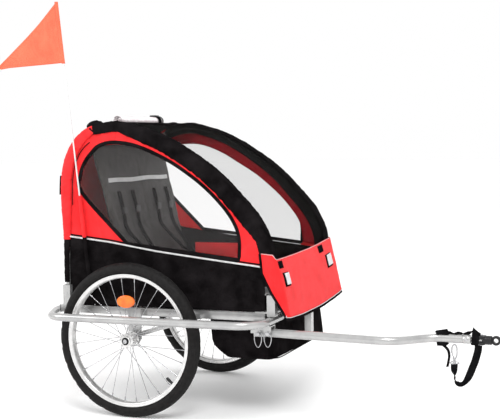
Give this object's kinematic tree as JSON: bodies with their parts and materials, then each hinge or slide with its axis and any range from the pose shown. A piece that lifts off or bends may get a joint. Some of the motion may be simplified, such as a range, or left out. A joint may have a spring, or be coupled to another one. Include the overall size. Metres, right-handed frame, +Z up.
{
  "type": "child bicycle trailer",
  "caption": "Folding two-seat child bicycle trailer with a fabric cabin, spoked wheels, side drawbar with hitch and safety strap, and a flag.",
  "frame": {"origin": "middle of the trailer's overall box, on the ground under the wheels", "axes": "+X forward, to the hitch; +Y to the trailer's left; +Z up. The drawbar runs along the right side."},
  "size_m": [1.619, 0.845, 1.3223],
  "materials": {
    "grey_steel": "satin grey enamel",
    "bright_steel": "bright zinc and stainless",
    "rim_alloy": "polished alloy",
    "tyre_rubber": "matt, fine tread",
    "black_plastic": "fine-grained black",
    "amber_lens": "clear amber reflector",
    "black_fabric": "coated woven polyester, black",
    "red_fabric": "coated woven polyester, red",
    "grey_mesh": "light grey insect mesh and clear film",
    "seat_fabric": "dark grey padded polyester",
    "clear_film": "rolled clear vinyl",
    "orange_flag": "fluorescent orange nylon",
    "white_rod": "white glass-fibre",
    "webbing": "black nylon webbing"
  },
  "bodies": {
    "base_frame": {"side_rail_right": "grey_steel", "side_rail_left": "grey_steel", "rear_cross_tube": "grey_steel", "axle_cross_tube": "grey_steel", "front_cross_tube": "grey_steel", "bumper_right": "grey_steel", "bumper_left": "grey_steel", "front_bracket_right": "grey_steel", "front_bracket_left": "grey_steel", "rear_bracket_right": "grey_steel", "rear_bracket_left": "grey_steel", "hinge_bolt_front_right": "bright_steel", "hinge_bolt_front_left": "bright_steel", "hinge_bolt_rear_right": "bright_steel", "hinge_bolt_rear_left": "bright_steel", "hub_bracket_right": "grey_steel", "hub_bracket_left": "grey_steel", "drawbar_receiver": "grey_steel", "front_wheel_socket": "grey_steel", "floor_and_footwell": "black_fabric", "side_skirt_right": "black_fabric", "side_skirt_left": "black_fabric", "rear_panel": "black_fabric", "roof_panel": "black_fabric", "front_screen": "grey_mesh", "front_apron": "red_fabric", "seat_back": "seat_fabric", "seat_base": "seat_fabric", "rain_cover_roll": "clear_film", "rain_cover_strap": "webbing", "flag_sleeve": "red_fabric"},
    "right_side_frame": {"side_hoop_right": "grey_steel", "side_panel_right": "red_fabric", "roof_band_right": "black_fabric"},
    "left_side_frame": {"side_hoop_left": "grey_steel", "side_panel_left": "red_fabric", "roof_band_left": "black_fabric"},
    "spreader_bar": {"top_spreader_bar": "grey_steel"},
    "right_wheel": {"tyre_right": "tyre_rubber", "rim_right": "rim_alloy", "hub_and_spokes_right": "bright_steel", "reflector_right": "amber_lens"},
    "left_wheel": {"tyre_left": "tyre_rubber", "rim_left": "rim_alloy", "hub_and_spokes_left": "bright_steel", "reflector_left": "amber_lens"},
    "right_release_button": {"release_button_right": "black_plastic"},
    "left_release_button": {"release_button_left": "black_plastic"},
    "drawbar": {"drawbar_tube": "grey_steel", "safety_strap": "webbing"},
    "drawbar_hinge_pin": {"drawbar_hinge_pin": "bright_steel"},
    "drawbar_lock_pin": {"drawbar_lock_pin": "bright_steel"},
    "hinge_pin_ring": {"hinge_pin_pull_ring": "bright_steel"},
    "lock_pin_ring": {"lock_pin_pull_ring": "bright_steel"},
    "hitch_coupler": {"hitch_coupler": "black_plastic"},
    "hitch_eye": {"hitch_eye": "black_plastic"},
    "snap_hook": {"snap_hook": "bright_steel"},
    "flag_pole": {"flag_pole": "white_rod", "flag": "orange_flag"}
  },
  "joints": [
    {"name": "right_wheel_spin", "type": "hinge", "parent": "base_frame", "child": "right_wheel", "pos_m": [-0.3255, -0.351, 0.245], "axis": [0, 1, 0], "continuous": true},
    {"name": "left_wheel_spin", "type": "hinge", "parent": "base_frame", "child": "left_wheel", "pos_m": [-0.3255, 0.351, 0.245], "axis": [0, 1, 0], "continuous": true},
    {"name": "right_release_button_press", "type": "slide", "parent": "right_wheel", "child": "right_release_button", "axis": [0, 1, 0], "range_m": [0, 0.004], "stiffness_N_per_m": 400},
    {"name": "left_release_button_press", "type": "slide", "parent": "left_wheel", "child": "left_release_button", "axis": [0, -1, 0], "range_m": [0, 0.004], "stiffness_N_per_m": 400},
    {"name": "side_frames_fold", "type": "hinge", "parent": "base_frame", "child": "right_side_frame", "pos_m": [0, -0.2865, 0.375], "axis": [-1, 0, 0], "range_deg": [0, 88], "deforming": ["roof_panel", "front_screen", "front_apron", "rear_panel", "seat_back", "seat_base", "rain_cover_roll", "rain_cover_strap", "side_panel_right", "side_panel_left"]},
    {"name": "left_side_frame_fold", "type": "hinge", "parent": "base_frame", "child": "left_side_frame", "pos_m": [0, 0.2865, 0.375], "axis": [1, 0, 0], "range_deg": [0, 48.4]},
    {"name": "spreader_bar_drop", "type": "slide", "parent": "base_frame", "child": "spreader_bar", "axis": [0, 0, -1], "range_m": [0, 0.48]},
    {"name": "drawbar_fold", "type": "hinge", "parent": "base_frame", "child": "drawbar", "pos_m": [0.0995, -0.292, 0.281], "axis": [0, 1, 0], "range_deg": [0, 165]},
    {"name": "hinge_pin_pull", "type": "slide", "parent": "base_frame", "child": "drawbar_hinge_pin", "axis": [0, -1, 0], "range_m": [0, 0.045]},
    {"name": "lock_pin_pull", "type": "slide", "parent": "drawbar", "child": "drawbar_lock_pin", "axis": [0, -1, 0], "range_m": [0, 0.045]},
    {"name": "hinge_pin_ring_swing", "type": "hinge", "parent": "drawbar_hinge_pin", "child": "hinge_pin_ring", "pos_m": [0.0995, -0.325, 0.28], "axis": [-1, 0, 0], "range_deg": [0, 90]},
    {"name": "lock_pin_ring_swing", "type": "hinge", "parent": "drawbar_lock_pin", "child": "lock_pin_ring", "pos_m": [0.1275, -0.316, 0.28], "axis": [-1, 0, 0], "range_deg": [0, 90]},
    {"name": "hitch_coupler_yaw", "type": "hinge", "parent": "drawbar", "child": "hitch_coupler", "pos_m": [0.7525, -0.217, 0.278], "axis": [0, 0, 1], "range_deg": [-35, 35], "stiffness_Nm_per_rad": 4},
    {"name": "hitch_eye_roll", "type": "hinge", "parent": "hitch_coupler", "child": "hitch_eye", "pos_m": [0.7745, -0.217, 0.278], "axis": [1, 0, 0], "range_deg": [-60, 60]},
    {"name": "snap_hook_swivel", "type": "hinge", "parent": "drawbar", "child": "snap_hook", "pos_m": [0.6745, -0.217, 0.24], "axis": [0, 0, 1], "range_deg": [-60, 60]},
    {"name": "flag_pole_lift", "type": "slide", "parent": "base_frame", "child": "flag_pole", "axis": [-0.1047, 0, 0.9945], "range_m": [0, 0.3]}
  ],
  "couplings": [
    {"joint": "left_side_frame_fold", "follows": "side_frames_fold", "ratio": 0.55},
    {"joint": "spreader_bar_drop", "follows": "side_frames_fold", "m_per_rad": 0.3124}
  ]
}
